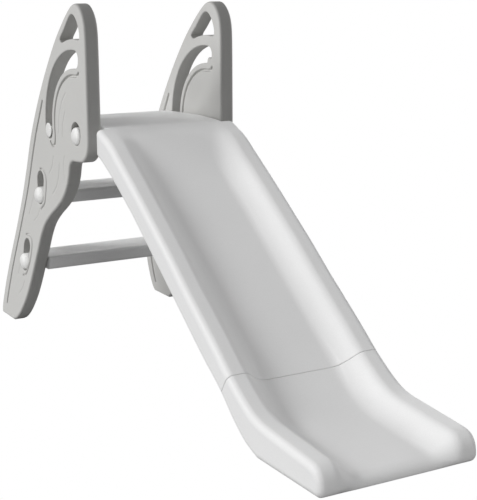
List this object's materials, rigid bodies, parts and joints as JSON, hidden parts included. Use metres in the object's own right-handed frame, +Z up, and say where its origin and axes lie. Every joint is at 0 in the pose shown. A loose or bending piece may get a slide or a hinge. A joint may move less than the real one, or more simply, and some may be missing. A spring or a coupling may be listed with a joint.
{
  "type": "folding straight slide",
  "caption": "Toddler's straight slide with two moulded side panels, box steps and a two-section chute that folds about studs in the panels.",
  "frame": {"origin": "floor level, at the middle of the space the slide takes up along X and Y (the bottom centre of its bounding box)", "axes": "+X towards the foot of the chute, +Y across the slide, +Z up"},
  "size_m": [1.2094, 0.4086, 0.6873],
  "materials": {
    "panel_grey": "matt, lightly textured, warm light grey",
    "slide_white": "satin, lightly textured, off-white",
    "stud_white": "satin, smooth, white",
    "zinc_steel": "zinc plated"
  },
  "bodies": {
    "ladder": {"side_panel_left": "panel_grey", "side_panel_right": "panel_grey", "step_lower": "slide_white", "step_upper": "slide_white", "step_lower_stud_left": "stud_white", "step_lower_stud_right": "stud_white", "step_upper_stud_left": "stud_white", "step_upper_stud_right": "stud_white"},
    "chute": {"chute_upper": "slide_white", "chute_lower": "slide_white", "pivot_stud_left": "stud_white", "pivot_stud_right": "stud_white", "guide_stud_left": "stud_white", "guide_stud_right": "stud_white", "chute_joint_screws": "zinc_steel", "chute_joint_washers": "zinc_steel"}
  },
  "joints": [
    {"name": "chute_fold", "type": "hinge", "parent": "ladder", "child": "chute", "pos_m": [-0.24475, 0, 0.4335], "axis": [0, 1, 0], "range_deg": [0, 88]}
  ]
}
